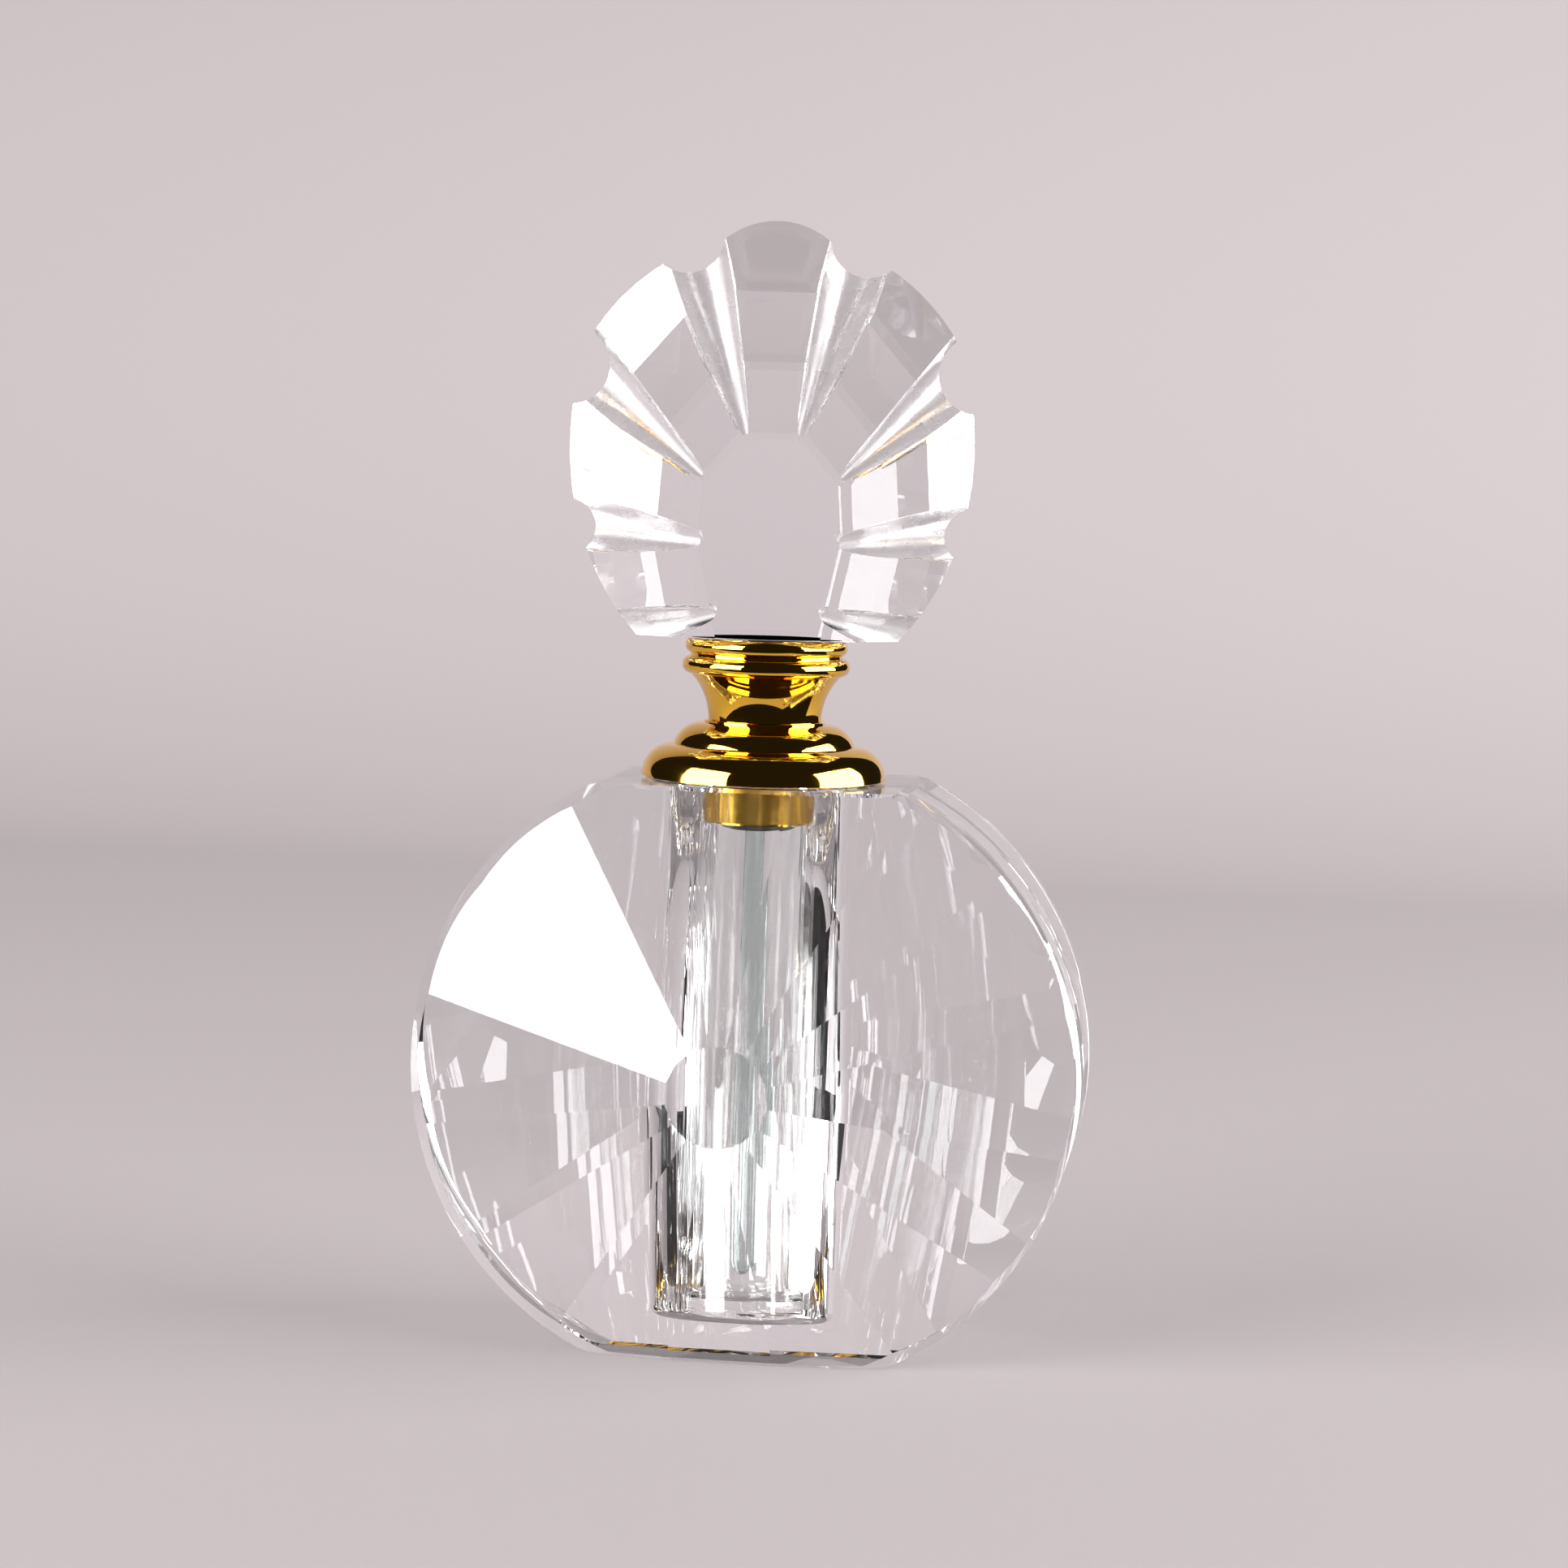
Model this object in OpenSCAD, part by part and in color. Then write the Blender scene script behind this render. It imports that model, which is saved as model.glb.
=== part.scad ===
// Cut-crystal perfume bottle with a gilt screw cap, a glass dipper and a fluted crystal stopper.
// +Z is up. The origin is the centre of the flat base. The broad front face looks along -Y.

/* [Crystal body] */

// Half of the body's greatest width
body_half_w = 35.0; // [25:0.5:50]
// Radius of the two side arcs of the body's outline
rim_r = 33.2; // [24:0.1:50]
// Height of the flat top above the flat base
body_h = 60.0; // [45:0.5:80]
// Thickness of the body at its rim
rim_t = 23.0; // [14:0.5:30]
// Slope of each fan facet away from the middle of the face, in degrees
fan_slope = 17.0; // [4:0.5:24]
// Distance from the middle of the fan to the flat of its small central table
table_r = 5.2; // [3:0.1:10]
// Sideways offset of the front fan's middle, from hand cutting
fan_shift = -1.0; // [-3:0.1:3]
// Drop of the front fan's middle below the middle of the body, from hand cutting
fan_drop = 0.8; // [-3:0.1:3]
// Depth of the polished bevel on the edges of the body
edge_bevel = 0.42; // [0.2:0.02:1]

/* [Bore and vial] */

// Radius of the blind bore in the crystal
bore_r = 9.2; // [6:0.1:11]
// Height of the bore's floor above the base
bore_floor = 4.4; // [3:0.1:10]
// Air gap between the bore and the vial
vial_gap = 0.15; // [0.05:0.01:0.4]
// Wall of the vial
vial_wall = 1.35; // [0.8:0.05:2.5]
// Thickness of the vial's floor
vial_floor = 2.4; // [1:0.1:4]

/* [Collar and neck] */

// Depth that the brass sleeve reaches into the bore
sleeve_depth = 4.5; // [2:0.1:8]
// Radius of the brass sleeve
sleeve_r = 8.7; // [5:0.1:9]
// Thickness of the adhesive film under the collar
glue_t = 0.12; // [0.05:0.01:0.4]
// Greatest radius of the collar's large dome
collar_r = 12.95; // [10:0.05:16]
// Height of the seam between the collar and the cap
seam_z = 66.3; // [62:0.1:72]
// Radius over the crests of the neck's thread
thread_r = 4.65; // [3.5:0.05:5.2]
// Radius of the way through the neck
neck_bore_r = 3.3; // [2:0.1:4]
// Pitch of the neck's thread
thread_pitch = 1.5; // [1:0.1:2.5]

/* [Cap and dipper] */

// Greatest radius of the cap's lower bead
bead_low_r = 8.9; // [7:0.05:11]
// Greatest radius of the cap's upper bead
bead_high_r = 8.6; // [7:0.05:11]
// Height of the cap's flat top
cap_top_z = 75.05; // [72:0.05:80]
// Radius of the glass dipper rod
rod_r = 1.6; // [1:0.05:2.5]
// Height of the dipper's round tip
rod_tip_z = 9.6; // [8:0.1:30]

/* [Stopper] */

// Height of the stopper's top
stopper_top_z = 118.5; // [100:0.5:130]
// Half of the stopper's greatest width
stopper_half_w = 21.2; // [15:0.5:28]
// Half of the stopper's thickness at its flat middle
stopper_half_t = 8.2; // [5:0.1:12]
// Angle between the closed cap's stopper and the body, seen from above
stopper_turn = 8.5; // [-45:0.5:45]
// Radius of a flute where it leaves the rim
flute_r = 3.9; // [2:0.1:5]
// Radius of a flute at its inner tip
flute_tip_r = 0.6; // [0.2:0.05:1.5]

/* [Hidden] */

$fn = 96;

// middle of the body's outline, and of the fan
body_c = body_h / 2;
arc_shift = body_half_w - rim_r;
half_t = rim_t / 2;
// directions of the fan's facets from straight up, on one side; the other side mirrors them.
// They were set by eye on the wheel, so the steps differ a little
FAN = [20.5, 42, 64.5, 87.5, 113, 135, 158];
table_y = half_t + (body_half_w - table_r) * tan(fan_slope);
// depths of the short bevels along the flats, and at their ends
flat_bevel_t = 0.24;
end_bevel_t = 0.12;

// vial
vial_r = bore_r - vial_gap;
vial_in_r = vial_r - vial_wall;
vial_z0 = bore_floor + 0.05;
vial_z1 = body_h - sleeve_depth;
corner_r = 1.2;

// collar and neck
collar_z0 = body_h + glue_t;
collar_foot_r = 12.2;
dome_r = 3.4;
upper_dome_x = 6.4;
upper_dome_z = 62.65;
seam_gap = 0.04;
collar_in_r = 4.7;
neck_out_r = thread_r - 0.02;
thread_root_r = thread_r - 0.45;
neck_top_z = 73.0;

// cap: heights of its washer and glue, and radii of its beads and of the skirt's hollow sweep
washer_z1 = neck_top_z + 0.8;
glue_z1 = cap_top_z + glue_t;
bead_low_t = 0.95;
bead_high_t = 0.9;
skirt_sweep_r = 7.0;
boss_z0 = 69.4;

// stopper: the middle from which its petals spread, and the arcs of its outline
sc_z = 86.7;
oval_z = 95.0;
oval_r = 22.2;
side_shift = 8.8;
lobe_r = 8.4;
// each petal: direction from straight up, then the distances at which its three facets start,
// then the slopes of the three facets
PETALS = [
    [0, 9.2, 16.3, 24.4, 7, 12, 19],
    [49, 8.3, 14.1, 21.3, 9, 14, 22],
    [-49, 8.3, 14.1, 21.3, 9, 14, 22],
    [86, 7.4, 11.8, 16.6, 14, 22, 32],
    [-86, 7.4, 11.8, 16.6, 14, 22, 32],
    [102, 7.7, 12.2, 17.0, 14, 22, 32],
    [-102, 7.7, 12.2, 17.0, 14, 22, 32]
];
// each flute on one side: its inner tip's x, z, the height of its axis and its radius there,
// then the same where it leaves the rim. The other side mirrors it
FLUTES = [
    [2.9, 96.4, 8.65, flute_tip_r, 8.55, 114.9, 6.2, flute_r],
    [7.3, 92.1, 8.5, 0.85 * flute_tip_r, 19.2, 102.3, 5.0, 0.95 * flute_r],
    [7.7, 85.4, 9.55, 2.5 * flute_tip_r, 19.3, 86.7, 5.4, 0.77 * flute_r],
    [5.7, 77.8, 8.9, 1.3 * flute_tip_r, 14.2, 75.5, 6.5, 0.67 * flute_r]
];
// the notches that the flutes end in: middle x, z, and radius
NOTCHES = [
    [9.49, 116.91, 4.02],
    [21.32, 103.16, 4.14],
    [21.16, 86.26, 2.91]
];

// ---------- shared shapes ----------

// everything on the far side of the plane through p with normal n
module beyond(n, p) {
    l = norm(n);
    translate(p)
        rotate([0, acos(n[2] / l), atan2(n[1], n[0])])
            translate([-80, -80, 0])
                cube([160, 160, 80]);
}

// a round bar that tapers from radius r1 at a to radius r2 at b, and runs on past b
module taper(a, b, r1, r2, more) {
    v = b - a;
    l = norm(v);
    translate(a)
        rotate([0, acos(v[2] / l), atan2(v[1], v[0])])
            cylinder(h = l * more, r1 = r1, r2 = r1 + (r2 - r1) * more);
}

// a ring between two radii and two heights
module ring(r_out, r_in, z0, z1) {
    difference() {
        translate([0, 0, z0])
            cylinder(h = z1 - z0, r = r_out);
        translate([0, 0, z0 - 1])
            cylinder(h = z1 - z0 + 2, r = r_in);
    }
}

// ---------- crystal body ----------

// one side's disc: a straight rim with a bevel at each edge, running on as cones
module disc(x) {
    translate([x, 0, body_c])
        rotate([90, 0, 0])
            rotate_extrude()
                polygon([
                    [0, -(half_t - edge_bevel + rim_r)],
                    [rim_r, -(half_t - edge_bevel)],
                    [rim_r, half_t - edge_bevel],
                    [0, half_t - edge_bevel + rim_r]
                ]);
}

// normal of fan facet a on side s, where s = -1 is the front
function fan_n_of(a, s) = [sin(a) * sin(fan_slope), s * cos(fan_slope), cos(a) * sin(fan_slope)];

// a point on that facet, at the body's rim
function fan_p_of(a, s, dx, dz) =
    [dx + body_half_w * sin(a), s * half_t, body_c - dz + body_half_w * cos(a)];

// a point on the edge between a fan facet and the flat at height z
function flat_edge(a, s, dx, dz, z) =
    let (n = fan_n_of(a, s), p = fan_p_of(a, s, dx, dz))
    [dx, p[1] - (n[0] * (dx - p[0]) + n[2] * (z - p[2])) / n[1], z];

// the bevel along that edge
module flat_bevel(a, s, dx, dz, z, up) {
    m = fan_n_of(a, s) + [0, 0, up];
    beyond(m, flat_edge(a, s, dx, dz, z) - m / norm(m) * flat_bevel_t);
}

module fan_cuts(s, dx, dz) {
    for (a = [0, 180])
        beyond(fan_n_of(a, s), fan_p_of(a, s, dx, dz));
    for (a = FAN, side = [-1, 1])
        beyond(fan_n_of(side * a, s), fan_p_of(side * a, s, dx, dz));
    beyond([0, s, 0], [0, s * table_y, 0]);
    for (a = [-FAN[0], 0, FAN[0]])
        flat_bevel(a, s, dx, dz, body_h, 1);
    for (a = [-FAN[6], 180, FAN[6]])
        flat_bevel(a, s, dx, dz, 0, -1);
}

// the flats' short bevels against the rim
module end_bevels() {
    for (s = [-1, 1])
        for (u = [-1, 1]) {
            zz = body_c + u * body_c;
            xx = arc_shift + sqrt(rim_r * rim_r - body_c * body_c);
            m = [xx - arc_shift, 0, u * (body_c + rim_r)];
            q = m / norm(m);
            beyond([s * q[0], 0, q[2]], [s * xx, 0, zz] - [s * q[0], 0, q[2]] * end_bevel_t);
        }
}

module bore_cut() {
    rotate_extrude()
        union() {
            translate([0, bore_floor])
                square([bore_r - corner_r, body_h]);
            translate([0, bore_floor + corner_r])
                square([bore_r, body_h]);
            translate([bore_r - corner_r, bore_floor + corner_r])
                circle(r = corner_r);
        }
}

module crystal_body() {
    color([0.90, 0.90, 0.92, 0.35])
        difference() {
            union() {
                disc(-arc_shift);
                disc(arc_shift);
            }
            translate([-80, -80, -160])
                cube([160, 160, 160]);
            translate([-80, -80, body_h])
                cube([160, 160, 160]);
            fan_cuts(-1, fan_shift, fan_drop);
            fan_cuts(1, 0, 0);
            end_bevels();
            bore_cut();
        }
}

// ---------- vial ----------

module glass_vial() {
    color([0.86, 0.90, 0.90, 0.35])
        rotate_extrude()
            difference() {
                union() {
                    translate([0, vial_z0])
                        square([vial_r - corner_r, vial_z1 - vial_z0]);
                    translate([0, vial_z0 + corner_r])
                        square([vial_r, vial_z1 - vial_z0 - corner_r]);
                    translate([vial_r - corner_r, vial_z0 + corner_r])
                        circle(r = corner_r);
                }
                translate([0, vial_z0 + vial_floor])
                    square([vial_in_r - corner_r, vial_z1]);
                translate([0, vial_z0 + vial_floor + corner_r])
                    square([vial_in_r, vial_z1]);
                translate([vial_in_r - corner_r, vial_z0 + vial_floor + corner_r])
                    circle(r = corner_r);
            }
}

// ---------- collar and neck ----------

module adhesive_ring() {
    color([0.93, 0.92, 0.88])
        ring(collar_foot_r, bore_r + 0.1, body_h, collar_z0);
}

// two domes, one on the other, with a short shoulder under the seam
module collar() {
    color([0.83, 0.62, 0.16])
        rotate_extrude()
            difference() {
                union() {
                    translate([collar_r - dome_r, body_h + 0.35])
                        circle(r = dome_r);
                    translate([collar_in_r, collar_z0])
                        square([collar_r - dome_r - collar_in_r, 3.63]);
                    translate([upper_dome_x, upper_dome_z])
                        circle(r = dome_r);
                    translate([collar_in_r, collar_z0])
                        square([upper_dome_x - collar_in_r, seam_z - seam_gap - collar_z0]);
                }
                translate([-1, body_h - 20])
                    square([30, 20 + glue_t]);
                translate([-1, body_h - 5])
                    square([1 + collar_in_r, 20]);
                translate([0, seam_z - seam_gap])
                    square([30, 10]);
                polygon([
                    [collar_foot_r, collar_z0 - 0.1],
                    [collar_r + 1.05, collar_z0 - 0.1],
                    [collar_r + 1.05, collar_z0 + 0.6]
                ]);
            }
}

// the collar's sleeve down into the bore
module mouth_sleeve() {
    color([0.78, 0.62, 0.26])
        ring(sleeve_r, thread_r + 0.05, vial_z1, body_h + glue_t);
}

module mouth_gasket() {
    color([0.16, 0.12, 0.09])
        ring(5.9, neck_bore_r, vial_z1 - 1.2, vial_z1);
}

// neck tube; each turn of its thread is one ring
module thread_neck() {
    color([0.80, 0.63, 0.25])
        rotate_extrude()
            difference() {
                union() {
                    translate([0, vial_z1])
                        square([neck_out_r, seam_z - vial_z1]);
                    translate([0, vial_z1])
                        square([thread_root_r, neck_top_z - vial_z1]);
                    for (k = [0 : 3])
                        translate([thread_root_r - 0.1, seam_z + 0.9 + k * thread_pitch])
                            polygon([
                                [0, 0], [0.55, 0.38], [0.55, 0.62], [0, 1.0]
                            ]);
                }
                translate([-1, vial_z1 - 1])
                    square([1 + neck_bore_r, 30]);
            }
}

// ---------- dipper ----------

module neck_washer() {
    color([0.88, 0.87, 0.83])
        ring(4.55, 2.3, neck_top_z, washer_z1);
}

// a disc under the cap's top with a boss that grips the rod
module rod_holder() {
    color([0.80, 0.63, 0.25])
        difference() {
            union() {
                translate([0, 0, washer_z1])
                    cylinder(h = 0.5, r = 4.6);
                translate([0, 0, boss_z0])
                    cylinder(h = washer_z1 - boss_z0 + 0.2, r = 2.2);
            }
            translate([0, 0, 60])
                cylinder(h = washer_z1 - 60, r = rod_r);
        }
}

module dipper_rod() {
    color([0.84, 0.88, 0.88, 0.4]) {
        translate([0, 0, rod_tip_z + rod_r])
            cylinder(h = washer_z1 - rod_tip_z - rod_r, r = rod_r);
        translate([0, 0, rod_tip_z + rod_r])
            sphere(r = rod_r);
    }
}

// ---------- cap ----------

// trumpet foot, two beads and a flat top
module cap_shell() {
    color([0.85, 0.64, 0.16])
        rotate_extrude()
            difference() {
                union() {
                    difference() {
                        translate([0, seam_z])
                            square([8.1, 5.0]);
                        translate([13.0, seam_z])
                            circle(r = skirt_sweep_r);
                    }
                    translate([0, 71.2])
                        square([8.05, 3.0]);
                    translate([bead_low_r - bead_low_t, 72.1])
                        circle(r = bead_low_t);
                    translate([0, 73.2])
                        square([bead_high_r - bead_high_t, cap_top_z - 73.2]);
                    translate([bead_high_r - bead_high_t, cap_top_z - bead_high_t])
                        circle(r = bead_high_t);
                }
                translate([0, seam_z - 1])
                    square([5.35, washer_z1 + 0.5 - seam_z + 1]);
                translate([-30, seam_z - 1])
                    square([30, 20]);
            }
}

// threaded lining of the cap
module cap_insert() {
    color([0.80, 0.63, 0.25])
        ring(5.3, thread_r + 0.07, seam_z + 0.3, neck_top_z - 0.3);
}

// ---------- stopper ----------

module stopper_glue() {
    color([0.92, 0.92, 0.90])
        translate([0, 0, cap_top_z])
            cylinder(h = glue_z1 - cap_top_z, r = 7.3);
}

module stopper_outline() {
    side_r = stopper_half_w + side_shift;
    difference() {
        union() {
            intersection() {
                translate([-side_shift, oval_z])
                    circle(r = side_r);
                translate([side_shift, oval_z])
                    circle(r = side_r);
                union() {
                    translate([0, oval_z])
                        circle(r = oval_r);
                    translate([-40, oval_z - 60])
                        square([80, 60]);
                }
            }
            translate([0, stopper_top_z - lobe_r])
                circle(r = lobe_r);
        }
        for (n = NOTCHES, side = [-1, 1])
            translate([side * n[0], n[1]])
                circle(r = n[2]);
    }
}

// drop of a petal's surface where its second and third facets start
function drop2(p) = (p[2] - p[1]) * tan(p[4]);
function drop3(p) = drop2(p) + (p[3] - p[2]) * tan(p[5]);

module petal_facet(a, s, d, y, slope) {
    beyond(
        [sin(a) * sin(slope), s * cos(slope), cos(a) * sin(slope)],
        [d * sin(a), s * y, sc_z + d * cos(a)]
    );
}

module petal_cuts(s) {
    for (p = PETALS) {
        petal_facet(p[0], s, p[1], stopper_half_t, p[4]);
        petal_facet(p[0], s, p[2], stopper_half_t - drop2(p), p[5]);
        petal_facet(p[0], s, p[3], stopper_half_t - drop3(p), p[6]);
    }
}

module flute_cuts(s) {
    for (f = FLUTES, side = [-1, 1])
        taper(
            [side * f[0], s * f[2], f[1]],
            [side * f[4], s * f[6], f[5]],
            f[3], f[7], 1.35
        );
}

module stopper_crystal() {
    color([0.92, 0.91, 0.93, 0.35])
        rotate([0, 0, stopper_turn])
        difference() {
            intersection() {
                translate([0, stopper_half_t, 0])
                    rotate([90, 0, 0])
                        linear_extrude(2 * stopper_half_t)
                            stopper_outline();
                translate([-60, -60, glue_z1])
                    cube([120, 120, 80]);
            }
            petal_cuts(-1);
            petal_cuts(1);
            flute_cuts(-1);
            flute_cuts(1);
        }
}

crystal_body();
glass_vial();
adhesive_ring();
collar();
mouth_sleeve();
mouth_gasket();
thread_neck();
neck_washer();
rod_holder();
dipper_rod();
cap_shell();
cap_insert();
stopper_glue();
stopper_crystal();
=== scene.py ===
# %% [markdown]
# # A cut-crystal perfume bottle with a dipper cap
#
# The bottle is a round block of optical crystal, ground into two fans of flat facets, with a small
# glass vial standing in a bore down its middle. A gilt brass collar is glued on top, and a gilt cap
# screws onto it, carrying a flower-shaped crystal stopper above and a glass dipper rod below.
#
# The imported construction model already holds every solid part, in metres, standing on z = 0. This
# script keeps those shapes and adds what a drawing office leaves out: how each surface was made,
# how it takes the light, and the last few drops of scent on the wall of the vial.

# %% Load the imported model
import math

import bpy
import numpy as np
from mathutils import Matrix, Vector


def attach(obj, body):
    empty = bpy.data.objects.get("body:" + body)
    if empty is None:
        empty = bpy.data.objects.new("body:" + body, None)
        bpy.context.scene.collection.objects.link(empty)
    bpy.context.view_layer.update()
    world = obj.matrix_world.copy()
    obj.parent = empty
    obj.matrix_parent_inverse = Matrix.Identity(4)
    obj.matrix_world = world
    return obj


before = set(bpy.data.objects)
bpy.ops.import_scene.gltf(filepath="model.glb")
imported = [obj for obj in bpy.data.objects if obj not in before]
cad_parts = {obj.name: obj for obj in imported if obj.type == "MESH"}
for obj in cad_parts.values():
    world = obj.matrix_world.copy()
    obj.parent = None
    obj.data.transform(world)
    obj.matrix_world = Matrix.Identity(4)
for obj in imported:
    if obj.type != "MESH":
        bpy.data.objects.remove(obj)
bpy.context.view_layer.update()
print("parts:", ", ".join(sorted(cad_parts)))

# %% [markdown]
# ## The camera
#
# A product photographer stands well back with a longish lens, a little above the table, so that the
# bottle keeps its upright shape. The lens is about 88 mm on a full-frame sensor, 0.4 m away. The
# view comes from yaw, pitch and a slight roll, and the matrix is put together from the three
# directions right, up and back, because a camera looks along its own -Z.

# %% Camera
LENS_MM = 87.58
SENSOR_MM = 36.0
CAMERA_PLACE = (0.05742, -0.39873, 0.09638)
CAMERA_YAW, CAMERA_PITCH, CAMERA_ROLL = np.radians([7.877, 5.223, 1.631])


def camera_axes(yaw, pitch, roll):
    """Right, up and back of a camera that has been turned by yaw, dipped by pitch and then rolled."""
    back = np.array([
        np.sin(yaw) * np.cos(pitch), -np.cos(yaw) * np.cos(pitch), np.sin(pitch)])
    right = np.array([np.cos(yaw), np.sin(yaw), 0.0])
    up = np.cross(back, right)
    return (
        right * np.cos(roll) + up * np.sin(roll),
        -right * np.sin(roll) + up * np.cos(roll),
        back)


def make_camera():
    """A camera whose matrix columns are its right, up and back directions and its place."""
    data = bpy.data.cameras.new("camera")
    data.lens, data.sensor_width = LENS_MM, SENSOR_MM
    data.clip_start, data.clip_end = 0.01, 20.0
    camera = bpy.data.objects.new("camera", data)
    bpy.context.scene.collection.objects.link(camera)
    columns = [*camera_axes(CAMERA_YAW, CAMERA_PITCH, CAMERA_ROLL), CAMERA_PLACE]
    matrix = np.eye(4)
    matrix[:3, :] = np.array(columns).T
    camera.matrix_world = Matrix(matrix.tolist())
    bpy.context.scene.camera = camera
    return camera


camera = make_camera()
print("camera at", [round(v, 4) for v in camera.location], "lens", LENS_MM, "mm")

# %% [markdown]
# ## Small helpers
#
# Colours are written as the sRGB hex codes that a paint chart or a picture editor shows, but light
# adds up in linear values, so one function turns one into the other. Another adds a node with its
# settings and its links in one line, which keeps each material short enough to read.

# %% Helpers for colours and nodes
def colour(code):
    """The linear red, green, blue and alpha of an sRGB hex code: a straight toe, then a 2.4 power."""
    share = np.array([int(code[place:place + 2], 16) for place in (1, 3, 5)]) / 255
    linear = np.where(share <= 0.04045, share / 12.92, ((share + 0.055) / 1.055) ** 2.4)
    return (*linear.tolist(), 1.0)


def add_node(tree, kind, inputs=None, **settings):
    """Adds one shader node. Settings are its own choices, inputs are values or sockets to link."""
    node = tree.nodes.new("ShaderNode" + kind)
    for name, value in settings.items():
        setattr(node, name, value)
    for name, value in (inputs or {}).items():
        if isinstance(value, bpy.types.NodeSocket):
            tree.links.new(value, node.inputs[name])
        else:
            node.inputs[name].default_value = value
    return node


def new_finish(name, **surface):
    """A material with one Principled surface. Values that never change go straight on its sockets."""
    material = bpy.data.materials.new(name)
    material.use_nodes = True
    tree = material.node_tree
    tree.nodes.clear()
    shader = add_node(tree, "BsdfPrincipled")
    for socket, value in surface.items():
        shader.inputs[socket.replace("_", " ")].default_value = value
    add_node(tree, "OutputMaterial", {"Surface": shader.outputs["BSDF"]})
    return material, tree, shader


def drive(tree, shader, **patterns):
    """Links the output socket of a pattern to each surface socket named."""
    for socket, pattern in patterns.items():
        tree.links.new(pattern, shader.inputs[socket.replace("_", " ")])


def object_place(tree, scale=(1, 1, 1), turn=(0, 0, 0)):
    """Object coordinates in metres, stretched by scale and turned, for patterns fixed to a piece."""
    place = add_node(tree, "TexCoord").outputs["Object"]
    return add_node(
        tree, "Mapping", {"Vector": place, "Scale": scale, "Rotation": turn}).outputs["Vector"]


def wear(node_names, material):
    """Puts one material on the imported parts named."""
    for node_name in node_names:
        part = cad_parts[node_name]
        part.data.materials.clear()
        part.data.materials.append(material)


print("linear value of mid grey:", round(colour("#808080")[0], 4))

# %% [markdown]
# ## Cut crystal
#
# The body and the stopper are optical crystal, a dense clear glass with an IOR a little above that
# of window glass. Each facet is ground on an iron wheel, then smoothed and polished with cerium
# oxide on a felt wheel. So the flats are mirror smooth, with only a trace of polishing waviness.
# The waviness is a fine bump at the width of a felt wheel's touch, a few millimetres, and it is
# only a thousandth of a millimetre deep, because a real facet bends light very evenly.

# %% Cut crystal
MM = 0.001
CRYSTAL_IOR = 1.52


def cut_crystal():
    """Clear crystal with polished facets: full transmission, no roughness, a trace of waviness."""
    material, tree, shader = new_finish(
        "cut_crystal_polished", Base_Color=colour("#FEFEFF"), Transmission_Weight=1.0,
        IOR=CRYSTAL_IOR, Roughness=0.0)
    waves = add_node(tree, "TexNoise", {
        "Vector": object_place(tree), "Scale": 1 / (5 * MM), "Detail": 1.0})
    bump = add_node(tree, "Bump", {
        "Height": waves.outputs["Fac"], "Distance": 0.001 * MM, "Strength": 1.0})
    drive(tree, shader, Normal=bump.outputs["Normal"])
    return material


crystal = cut_crystal()
wear(["crystal_body"], crystal)
print("made", crystal.name)

# %% [markdown]
# ## Satin flutes
#
# The stopper's flutes are cut with the rounded edge of a wheel, where felt can't reach to polish
# them fully. So they keep a satin surface with fine lines along their length. Each flute is a cone
# from a narrow tip to a wide mouth. A point of the surface is in a flute when its distance from the
# cone's axis matches the cone's radius there, which a few vector nodes work out. Taking x and y
# without their signs makes one flute stand for its four mirror images.

# %% Fluted crystal
STOPPER_TURN = math.radians(8.5)
FLUTE_EDGE, FLUTE_CLEAR = 0.02 * MM, 0.06 * MM
FLUTES = [
    # tip, mouth, tip radius, mouth radius, in mm in the stopper's own frame
    ((2.9, 8.65, 96.4), (8.55, 6.2, 114.9), 0.6, 3.9),
    ((7.3, 8.5, 92.1), (19.2, 5.0, 102.3), 0.51, 3.7),
    ((7.7, 9.55, 85.4), (19.3, 5.4, 86.7), 1.5, 3.0),
    ((5.7, 8.9, 77.8), (14.2, 6.5, 75.5), 0.78, 2.6)]


def flute_nodes(tree, place, tip, mouth, tip_r, mouth_r):
    """Whether a point is on one flute, and the point with its place along the flute taken out.

    With w the point from the tip and u the unit axis, the way along is s = w . u, the distance from
    the axis is |w x u|, and the cone's radius there is tip_r + (mouth_r - tip_r) s / length.
    """
    axis = Vector(mouth) - Vector(tip)
    slope = (mouth_r - tip_r) / axis.length
    away = add_node(tree, "VectorMath", {
        0: place, 1: Vector(tip) * MM}, operation="SUBTRACT").outputs["Vector"]
    along = add_node(tree, "VectorMath", {
        0: away, 1: axis.normalized()}, operation="DOT_PRODUCT").outputs["Value"]
    cross = add_node(tree, "VectorMath", {
        0: away, 1: axis.normalized()}, operation="CROSS_PRODUCT").outputs["Vector"]
    far = add_node(tree, "VectorMath", {0: cross}, operation="LENGTH").outputs["Value"]
    radius = add_node(tree, "Math", {
        0: along, 1: slope, 2: tip_r * MM}, operation="MULTIPLY_ADD").outputs["Value"]
    gap = add_node(tree, "Math", {0: far, 1: radius}, operation="SUBTRACT").outputs["Value"]
    inside = add_node(tree, "MapRange", {
        "Value": gap, "From Min": FLUTE_EDGE, "From Max": FLUTE_CLEAR, "To Min": 1.0,
        "To Max": 0.0}).outputs["Result"]
    return inside, add_node(tree, "VectorMath", {
        0: cross, "Scale": inside}, operation="SCALE").outputs["Vector"]


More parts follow.
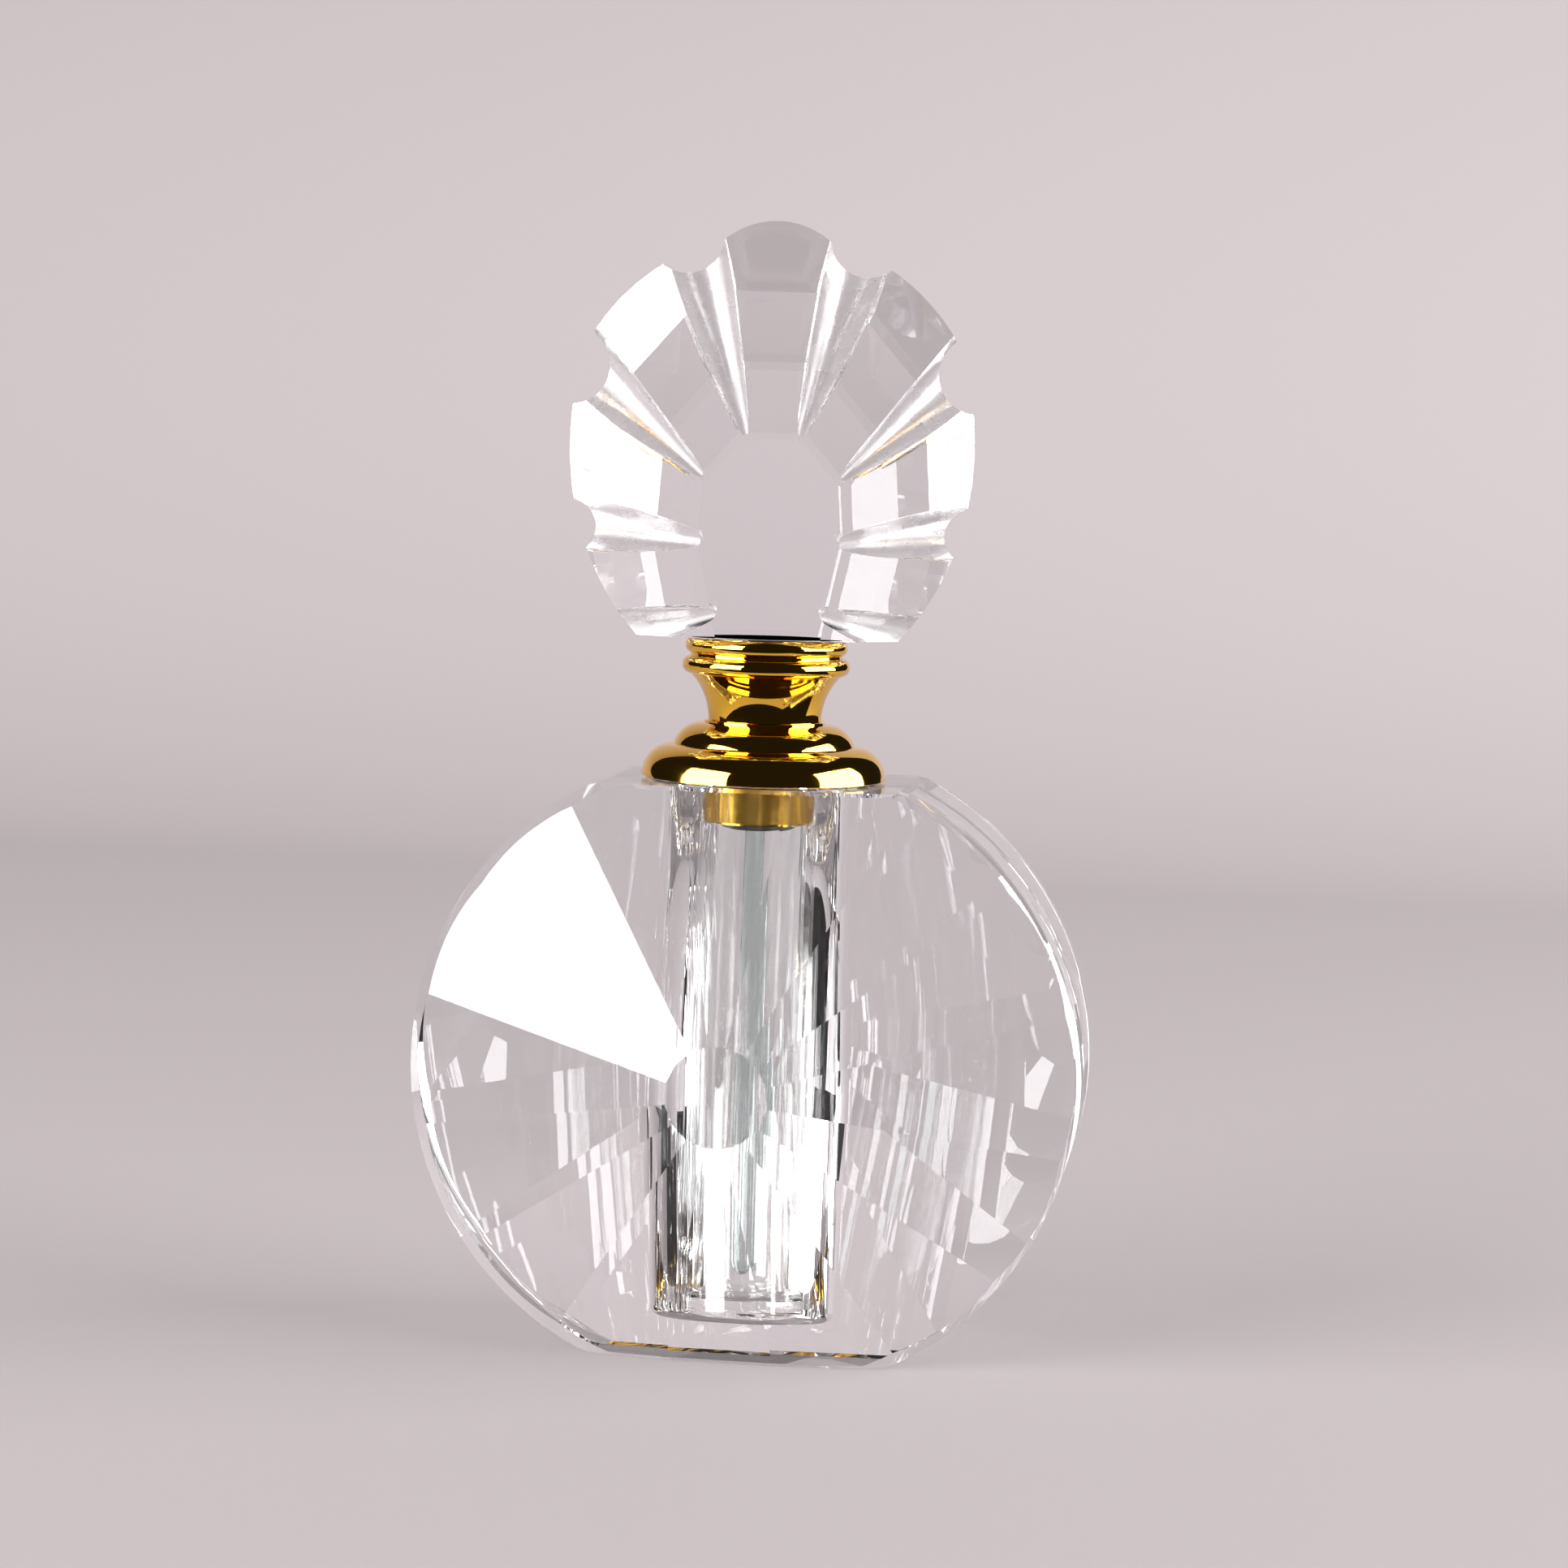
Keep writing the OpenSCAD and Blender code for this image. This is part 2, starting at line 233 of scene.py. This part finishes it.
def fluted_crystal():
    """Polished crystal whose flutes are satin: rougher, with a bump of lines along each flute."""
    material, tree, shader = new_finish(
        "cut_crystal_fluted", Base_Color=colour("#FEFEFF"), Transmission_Weight=1.0,
        IOR=CRYSTAL_IOR)
    place = object_place(tree, turn=(0, 0, -STOPPER_TURN))
    mirrored = add_node(tree, "VectorMath", {0: place}, operation="ABSOLUTE").outputs["Vector"]
    satin, across = 0.0, (0.0, 0.0, 0.0)
    for flute in FLUTES:
        inside, crossing = flute_nodes(tree, mirrored, *flute)
        satin = add_node(tree, "Math", {
            0: satin, 1: inside}, operation="MAXIMUM").outputs["Value"]
        across = add_node(tree, "VectorMath", {
            0: across, 1: crossing}, operation="ADD").outputs["Vector"]
    lines = add_node(tree, "TexNoise", {
        "Vector": across, "Scale": 1 / (0.35 * MM), "Detail": 2.0}).outputs["Fac"]
    patches = add_node(tree, "TexNoise", {
        "Vector": place, "Scale": 1 / (2.5 * MM), "Detail": 3.0}).outputs["Fac"]
    haze = add_node(tree, "MapRange", {
        "Value": patches, "From Min": 0.35, "From Max": 0.65, "To Min": 0.22, "To Max": 0.34})
    rough = add_node(tree, "Math", {
        0: haze.outputs["Result"], 1: satin}, operation="MULTIPLY").outputs["Value"]
    depth = add_node(tree, "Math", {0: satin, 1: 0.8}, operation="MULTIPLY").outputs["Value"]
    bump = add_node(tree, "Bump", {"Height": lines, "Distance": 0.003 * MM, "Strength": depth})
    drive(tree, shader, Roughness=rough, Normal=bump.outputs["Normal"])
    return material


fluted = fluted_crystal()
wear(["stopper_crystal"], fluted)
print("made", fluted.name, "with", len(fluted.node_tree.nodes), "nodes")

# %% [markdown]
# ## Drawn and moulded glass
#
# The vial is drawn from a gob into a tube and closed at the foot, which leaves faint lines along
# its length. The lines are a noise stretched some eighty times along the tube. The dipper rod is
# fire-polished glass rod, so its streaks are finer still.

# %% Vial and rod glass
def drawn_glass(name, tint, ior, streak_mm, depth_mm):
    """Clear glass with faint draw lines: noise squeezed across the tube and stretched along it."""
    material, tree, shader = new_finish(
        name, Base_Color=colour(tint), Transmission_Weight=1.0, IOR=ior, Roughness=0.0)
    streaks = add_node(tree, "TexNoise", {
        "Vector": object_place(tree, scale=(1, 1, 0.012)), "Scale": 1 / (streak_mm * MM),
        "Detail": 2.0})
    bump = add_node(tree, "Bump", {
        "Height": streaks.outputs["Fac"], "Distance": depth_mm * MM, "Strength": 1.0})
    drive(tree, shader, Normal=bump.outputs["Normal"])
    return material


vial_glass = drawn_glass("vial_glass_drawn", "#FEFFFE", 1.50, 1.6, 0.004)
rod_glass = drawn_glass("rod_glass_fire_polished", "#DCE6E5", 1.49, 0.8, 0.002)
wear(["glass_vial"], vial_glass)
wear(["dipper_rod"], rod_glass)
print("made", vial_glass.name, "and", rod_glass.name)

# %% [markdown]
# ## Gilt brass
#
# The collar and the cap are spun from brass sheet, buffed bright and electroplated with a thin coat
# of gold over nickel. Bright plating is close to a mirror, so it is all metal with a very low
# roughness. A few pinholes in the plating show as small dark specks, and buffing leaves a faint
# uneven haze. Spinning leaves very fine rings, which are drawn as a bump that changes quickly with
# height and hardly at all around the axis.

# %% Gilt brass
def gilt_brass():
    """Bright gold plate: a saturated metal with haze, spun rings and a few dark pinholes."""
    material, tree, shader = new_finish("gilt_brass_buffed", Metallic=1.0)
    place = object_place(tree)
    haze = add_node(tree, "TexNoise", {"Vector": place, "Scale": 1 / (6 * MM), "Detail": 4.0})
    rough = add_node(tree, "MapRange", {
        "Value": haze.outputs["Fac"], "From Min": 0.35, "From Max": 0.75,
        "To Min": 0.035, "To Max": 0.085})
    pores = add_node(tree, "TexVoronoi", {
        "Vector": place, "Scale": 1 / (3.2 * MM), "Randomness": 1.0})
    pinhole = add_node(tree, "MapRange", {
        "Value": pores.outputs["Distance"], "From Min": 0.028, "From Max": 0.05,
        "To Min": 1.0, "To Max": 0.0})
    tint = add_node(tree, "Mix", {
        "Factor": pinhole.outputs["Result"], "A": colour("#F7C145"), "B": colour("#4A3208")},
        data_type="RGBA")
    rings = add_node(tree, "TexNoise", {
        "Vector": object_place(tree, scale=(0.03, 0.03, 1)), "Scale": 1 / (0.5 * MM),
        "Detail": 1.0})
    bump = add_node(tree, "Bump", {
        "Height": rings.outputs["Fac"], "Distance": 0.001 * MM, "Strength": 0.6})
    drive(
        tree, shader, Base_Color=tint.outputs["Result"], Roughness=rough.outputs["Result"],
        Normal=bump.outputs["Normal"])
    return material


gilt = gilt_brass()
wear(["collar", "cap_shell"], gilt)
print("made", gilt.name)

# %% [markdown]
# ## Turned brass
#
# The sleeve in the mouth of the bore, the threads, the cap's insert and the holder that grips the
# dipper rod are turned on a lathe and left as cut, then lightly lacquered. The tool leaves fine
# rings, which are drawn a little over a millimetre apart so that they show, and air dulls the brass
# in soft brown patches. A wave texture turns once in each 2 pi / 20 of its scaled coordinate, so
# its scale is 2 pi over twenty times the ring spacing.

# %% Turned brass
LATHE_RING = 1.2566 * MM


def turned_brass():
    """Satin brass with lathe rings along z and soft tarnish that darkens and dulls it."""
    material, tree, shader = new_finish("satin_brass_turned", Metallic=1.0)
    patches = add_node(tree, "TexNoise", {
        "Vector": object_place(tree), "Scale": 1 / (4 * MM), "Detail": 3.0})
    tarnish = add_node(tree, "MapRange", {
        "Value": patches.outputs["Fac"], "From Min": 0.45, "From Max": 0.8})
    tint = add_node(tree, "Mix", {
        "Factor": tarnish.outputs["Result"], "A": colour("#EDBE4C"), "B": colour("#A3762A")},
        data_type="RGBA")
    rough = add_node(tree, "MapRange", {
        "Value": tarnish.outputs["Result"], "To Min": 0.16, "To Max": 0.30})
    rings = add_node(tree, "TexWave", {
        "Vector": object_place(tree), "Scale": 2 * math.pi / (20 * LATHE_RING), "Distortion": 0.4,
        "Detail": 1.0}, bands_direction="Z")
    bump = add_node(tree, "Bump", {
        "Height": rings.outputs["Fac"], "Distance": 0.004 * MM, "Strength": 0.7})
    drive(
        tree, shader, Base_Color=tint.outputs["Result"], Roughness=rough.outputs["Result"],
        Normal=bump.outputs["Normal"])
    return material


turned = turned_brass()
wear(["mouth_sleeve", "thread_neck", "cap_insert", "rod_holder"], turned)
print("made", turned.name)

# %% [markdown]
# ## Seals and glue
#
# The gasket under the sleeve is black nitrile rubber, dull with a slight bloom. The washer on the
# neck is moulded polythene, milky and waxy. The glue under the collar and the stopper is clear
# acrylic cured with ultraviolet light, which keeps a few small bubbles.

# %% Seals and glue
def soft_seal(name, tone, bloom, rough, grain_mm, depth_mm, scatter=0.0):
    """A moulded seal: two close tones in soft patches over a fine grain, with or without scatter."""
    material, tree, shader = new_finish(
        name, Roughness=rough, IOR=1.5, Subsurface_Weight=scatter, Subsurface_Scale=0.5 * MM)
    patches = add_node(tree, "TexNoise", {
        "Vector": object_place(tree), "Scale": 1 / (2.5 * MM), "Detail": 3.0})
    tint = add_node(tree, "Mix", {
        "Factor": patches.outputs["Fac"], "A": colour(tone), "B": colour(bloom)},
        data_type="RGBA")
    grain = add_node(tree, "TexNoise", {
        "Vector": object_place(tree), "Scale": 1 / (grain_mm * MM), "Detail": 2.0})
    bump = add_node(tree, "Bump", {
        "Height": grain.outputs["Fac"], "Distance": depth_mm * MM, "Strength": 0.5})
    drive(tree, shader, Base_Color=tint.outputs["Result"], Normal=bump.outputs["Normal"])
    return material


def cured_glue():
    """Clear acrylic glue: transmission with a soft gloss and a bump of tiny trapped bubbles."""
    material, tree, shader = new_finish(
        "acrylic_glue_cured", Base_Color=colour("#F4F1E6"), Transmission_Weight=1.0, IOR=1.49,
        Roughness=0.12)
    bubbles = add_node(tree, "TexVoronoi", {
        "Vector": object_place(tree), "Scale": 1 / (0.7 * MM)}, feature="SMOOTH_F1")
    bump = add_node(tree, "Bump", {
        "Height": bubbles.outputs["Distance"], "Distance": 0.02 * MM, "Strength": 0.5})
    drive(tree, shader, Normal=bump.outputs["Normal"])
    return material


rubber = soft_seal("nitrile_rubber_gasket", "#14120F", "#2B2722", 0.45, 0.25, 0.01)
polythene = soft_seal("polythene_moulded", "#EDEBE4", "#E2DFD5", 0.35, 0.4, 0.006, scatter=0.3)
glue = cured_glue()
wear(["mouth_gasket"], rubber)
wear(["neck_washer"], polythene)
wear(["adhesive_ring", "stopper_glue"], glue)
print("made", rubber.name, polythene.name, glue.name)

# %% [markdown]
# ## The last drops in the vial
#
# A little scent is left as fine droplets on the wall of the vial, on the side where it last ran.
# Each is a low dome that follows the curved wall, a hair clear of it, and drawn out a little by its
# weight. All the domes are one mesh, worked out together: one number along each drop's radius, one
# around it, and one for the drop. Angles around the vial are counted from +X.

# %% Droplets
BORE_R, AIR_GAP, VIAL_WALL = 9.2, 0.15, 1.35
VIAL_INNER_R = (BORE_R - AIR_GAP - VIAL_WALL) * MM
DROP_COUNT = 90
DROP_RINGS, DROP_SPOKES = 5, 12
DROP_RISE, DROP_STRETCH = 0.42, 1.12
DROP_CLEARANCE = 0.012 * MM


def droplet_surfaces():
    """Points of every drop: a dome of height h (1 - s^2) over a disc laid on the vial's inner wall.

    s runs from the middle of the drop to its rim and t runs round it. A disc point (a, b) becomes
    the angle a / R round the wall and the height b, and the dome rises from the wall to the axis.
    """
    draw = np.random.default_rng(11)
    around = np.radians(draw.normal(-6.0, 17.0, DROP_COUNT))
    height = draw.uniform(19.0, 44.0, DROP_COUNT) * MM
    radius = np.clip(draw.lognormal(-1.55, 0.42, DROP_COUNT), 0.1, 0.46) * MM
    s = np.linspace(0, 1, DROP_RINGS + 1)[1:]
    t = np.linspace(0, 2 * np.pi, DROP_SPOKES, endpoint=False)
    disc_a = radius[:, None, None] * s[None, :, None] * np.cos(t)[None, None, :]
    disc_b = DROP_STRETCH * radius[:, None, None] * s[None, :, None] * np.sin(t)[None, None, :]
    rise = DROP_RISE * radius[:, None, None] * (1 - s[None, :, None] ** 2) + 0 * disc_a
    angle = around[:, None, None] + disc_a / VIAL_INNER_R
    wall = VIAL_INNER_R - DROP_CLEARANCE
    dome = np.stack([
        (wall - rise) * np.cos(angle), (wall - rise) * np.sin(angle),
        height[:, None, None] + disc_b], axis=-1)
    crown = np.stack([
        (wall - DROP_RISE * radius) * np.cos(around), (wall - DROP_RISE * radius) * np.sin(around),
        height], axis=-1)
    foot = np.stack([wall * np.cos(around), wall * np.sin(around), height], axis=-1)
    return crown, dome, foot


def droplet_mesh():
    """Fans close the crown and the foot of each drop, and quads join its rings."""
    crown, dome, foot = droplet_surfaces()
    points = np.concatenate([crown[:, None], dome.reshape(DROP_COUNT, -1, 3), foot[:, None]], 1)
    each = points.shape[1]
    spoke = np.arange(DROP_SPOKES)
    after = (spoke + 1) % DROP_SPOKES
    rings = np.arange(DROP_RINGS - 1)[:, None] * DROP_SPOKES + 1
    quads = np.stack([
        rings + spoke, rings + after, rings + DROP_SPOKES + after, rings + DROP_SPOKES + spoke],
        -1).reshape(-1, 4)
    last = 1 + (DROP_RINGS - 1) * DROP_SPOKES
    top = np.stack([0 * spoke, 1 + after, 1 + spoke], -1)
    under = np.stack([0 * spoke + each - 1, last + spoke, last + after], -1)
    shift = (np.arange(DROP_COUNT) * each)[:, None, None]
    faces = [
        *(quads[None] + shift).reshape(-1, 4).tolist(),
        *(top[None] + shift).reshape(-1, 3).tolist(),
        *(under[None] + shift).reshape(-1, 3).tolist()]
    mesh = bpy.data.meshes.new("vial_droplets")
    mesh.from_pydata(points.reshape(-1, 3).tolist(), [], faces)
    mesh.shade_smooth()
    return mesh


def signed_volume(mesh):
    """Volume inside the faces, positive when they face outwards: sums of corner triple products."""
    mesh.calc_loop_triangles()
    points = np.zeros(len(mesh.vertices) * 3)
    mesh.vertices.foreach_get("co", points)
    corners = np.zeros(len(mesh.loop_triangles) * 3, np.int32)
    mesh.loop_triangles.foreach_get("vertices", corners)
    a, b, c = points.reshape(-1, 3)[corners].reshape(-1, 3, 3).transpose(1, 0, 2)
    return float(np.einsum("ij,ij->", a, np.cross(b, c)) / 6)


def scent_liquid():
    """Alcohol scent: a clear, very pale straw liquid whose beads thin and thicken a little."""
    material, tree, shader = new_finish(
        "scent_droplets_liquid", Base_Color=colour("#FBF6E6"), Transmission_Weight=1.0, IOR=1.36,
        Roughness=0.0)
    ripple = add_node(tree, "TexNoise", {
        "Vector": object_place(tree), "Scale": 1 / (0.6 * MM), "Detail": 0.0})
    bump = add_node(tree, "Bump", {
        "Height": ripple.outputs["Fac"], "Distance": 0.01 * MM, "Strength": 0.4})
    drive(tree, shader, Normal=bump.outputs["Normal"])
    return material


drop_mesh = droplet_mesh()
droplets = bpy.data.objects.new("vial_droplets", drop_mesh)
bpy.context.scene.collection.objects.link(droplets)
drop_mesh.materials.append(scent_liquid())
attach(droplets, "bottle")
print("droplets:", DROP_COUNT, "volume mm3:", round(signed_volume(drop_mesh) * 1e9, 3))

# %% [markdown]
# ## Floor and backdrop
#
# A studio uses one sheet of paper that lies on the table and curves up behind, so that no edge
# shows. The sheet is a profile carried straight across: flat, a quarter circle, then upright. Clear
# glass is drawn by what it bends towards, so it is lit as on a small table. Mirror rays meet only
# the paper under and behind the bottle. Bent rays also meet the rest of the wall, and the outer
# floor is there for the eye alone.

# %% Paper sweep
SWEEP_RADIUS, SWEEP_BEND, SWEEP_TOP = 0.30, 0.42, 2.0
SHEET_X = np.array([-2.4, -0.95, -0.40, 0.09, 0.27, 2.4])
SHEET_Y = np.array([-1.2, -0.09, 0.05])


def sweep_grid():
    """A grid of SHEET_X across and the profile along: flat, a quarter turn of SWEEP_RADIUS, upright."""
    turn = np.linspace(0, np.pi / 2, 33)
    y = np.concatenate([
        SHEET_Y, SWEEP_BEND + SWEEP_RADIUS * np.sin(turn), [SWEEP_BEND + SWEEP_RADIUS]])
    z = np.concatenate([0 * SHEET_Y, SWEEP_RADIUS * (1 - np.cos(turn)), [SWEEP_TOP]])
    x = np.broadcast_to(SHEET_X[:, None], (len(SHEET_X), len(y)))
    return np.stack([x, np.broadcast_to(y, x.shape), np.broadcast_to(z, x.shape)], -1)


def sheet(name, keep):
    """The cells of the grid where keep is true, as one piece of paper that faces the bottle."""
    points = sweep_grid()
    across, along = points.shape[:2]
    corner = (np.arange(across - 1)[:, None] * along + np.arange(along - 1)[None, :])[keep]
    faces = np.stack([corner, corner + along, corner + along + 1, corner + 1], -1)
    used, place = np.unique(faces, return_inverse=True)
    mesh = bpy.data.meshes.new(name)
    mesh.from_pydata(points.reshape(-1, 3)[used].tolist(), [], place.reshape(-1, 4).tolist())
    mesh.shade_smooth()
    piece = bpy.data.objects.new(name, mesh)
    piece.data.materials.append(paper)
    bpy.context.scene.collection.objects.link(piece)
    return piece


paper, paper_tree, paper_shader = new_finish(
    "studio_paper_matt", Base_Color=colour("#736D6E"), Roughness=0.85)
cell_x, cell_y = np.meshgrid(
    np.arange(len(SHEET_X) - 1), np.arange(sweep_grid().shape[1] - 1), indexing="ij")
behind = (cell_y >= 2) & (cell_x >= 1) & (cell_x <= 3)
beneath = (cell_y == 1) & (cell_x == 2)
table_paper = sheet("paper_sweep", behind | beneath)
outer_wall = sheet("paper_sweep_wall", (cell_y >= 3) & ~behind)
outer_wall.visible_glossy = False
outer_paper = sheet("paper_sweep_outer", (cell_y < 3) & ~(behind | beneath))
outer_paper.visible_glossy = outer_paper.visible_transmission = False
papers = (table_paper, outer_wall, outer_paper)
print("sweep faces:", [len(piece.data.polygons) for piece in papers])

# %% [markdown]
# ## Light
#
# Glass and gold show what stands around them more than any colour of their own. One large softbox
# stands to the left of the camera and another squarely to the right, and everything between, above
# and below them is dark. That draws the dark lines inside the glass and between the highlights on
# the gold.

# %% Softboxes
SOFTBOX_DISTANCE, SOFTBOX_LOW, SOFTBOX_HIGH = 0.75, 0.003, 0.66
SOFTBOX_RADIANCE = 13.0


def softbox(name, azimuth, width):
    """A rectangular area light at an azimuth from the front, facing the bottle.

    A flat lamp that gives the same radiance L all over its area A has the power pi L A.
    """
    height = SOFTBOX_HIGH - SOFTBOX_LOW
    data = bpy.data.lights.new(name, "AREA")
    data.shape = "RECTANGLE"
    data.size, data.size_y = width, height
    data.energy = SOFTBOX_RADIANCE * math.pi * width * height
    turn = math.radians(azimuth)
    light = bpy.data.objects.new(name, data)
    light.location = (
        SOFTBOX_DISTANCE * math.sin(turn), -SOFTBOX_DISTANCE * math.cos(turn),
        SOFTBOX_LOW + height / 2)
    light.rotation_euler = Vector(
        (math.sin(turn), -math.cos(turn), 0)).to_track_quat("Z", "Y").to_euler()
    light.visible_camera = False
    bpy.context.scene.collection.objects.link(light)
    return light


left_box = softbox("softbox_left", azimuth=-50, width=0.66)
right_box = softbox("softbox_right", azimuth=90, width=0.76)
print("softboxes:", left_box.name, right_box.name)

# %% [markdown]
# ## Fill light
#
# The softboxes leave the far paper in the dark, so a wide, even light from above the camera fills
# it. It is there for the paper only: mirror and bent rays don't meet it, and it casts no shadow.

# %% Fill light for the paper
def paper_fill(azimuth, elevation, strength):
    """A distant light from an azimuth and elevation, seen by matt surfaces and by nothing else."""
    data = bpy.data.lights.new("paper_fill", "SUN")
    data.energy, data.angle = strength, math.radians(30)
    data.use_shadow = False
    turn, rise = math.radians(azimuth), math.radians(elevation)
    light = bpy.data.objects.new("paper_fill", data)
    light.rotation_euler = Vector((
        math.sin(turn) * math.cos(rise), -math.cos(turn) * math.cos(rise), math.sin(rise),
    )).to_track_quat("Z", "Y").to_euler()
    light.visible_camera = light.visible_glossy = light.visible_transmission = False
    bpy.context.scene.collection.objects.link(light)
    return light


fill = paper_fill(azimuth=0, elevation=47, strength=7.0)
print("fill light:", fill.name)

# %% [markdown]
# ## The room
#
# The room itself is the world, and it has three levels. The eye sees a pale wall past the paper.
# Mirror rays see a dark room, which gives gold its deep brown. Bent rays see the same dark room
# with one soft pale window behind the camera, which lifts the clear glass a little.

# %% Room light
ROOM_DARK, ROOM_PALE, ROOM_FRONT = 0.02, 0.60, 0.40
WINDOW_DIRECTION = (0.1, -0.99, 0.05)
WINDOW_EDGE, WINDOW_FULL = 0.78, 0.90
room = bpy.data.worlds.new("studio_room")
bpy.context.scene.world = room
room.use_nodes = True
room_tree = room.node_tree
room_tree.nodes.clear()
direction = add_node(room_tree, "TexCoord").outputs["Generated"]
ray = add_node(room_tree, "LightPath")
front = add_node(room_tree, "VectorMath", {
    0: direction, 1: WINDOW_DIRECTION}, operation="DOT_PRODUCT").outputs["Value"]
window = add_node(room_tree, "MapRange", {
    "Value": front, "From Min": WINDOW_EDGE, "From Max": WINDOW_FULL, "To Min": ROOM_DARK,
    "To Max": ROOM_FRONT}, interpolation_type="SMOOTHSTEP").outputs["Result"]
bent = add_node(room_tree, "Mix", {
    "Factor": ray.outputs["Is Transmission Ray"], "A": ROOM_DARK, "B": window},
    data_type="FLOAT").outputs["Result"]
level = add_node(room_tree, "Mix", {
    "Factor": ray.outputs["Is Camera Ray"], "A": bent, "B": ROOM_PALE},
    data_type="FLOAT").outputs["Result"]
glow = add_node(room_tree, "Background", {"Color": colour("#E6DEDD"), "Strength": level})
add_node(room_tree, "OutputWorld", {"Surface": glow.outputs["Background"]})
print("room levels:", ROOM_DARK, ROOM_FRONT, ROOM_PALE)

# %% [markdown]
# ## Paths of light
#
# A ray that crosses the body, the vial, the rod and the vial again passes some twenty surfaces, and
# total reflection inside the facets adds more. The paths must be long enough for that, or the
# glass turns black where it should be clear.

# %% Light paths and tone
scene = bpy.context.scene
scene.cycles.max_bounces = 40
scene.cycles.transmission_bounces = 40
scene.cycles.glossy_bounces = 24
scene.cycles.diffuse_bounces = 3
scene.view_settings.view_transform = "Standard"
scene.view_settings.look = "None"
print("bounces:", scene.cycles.max_bounces)
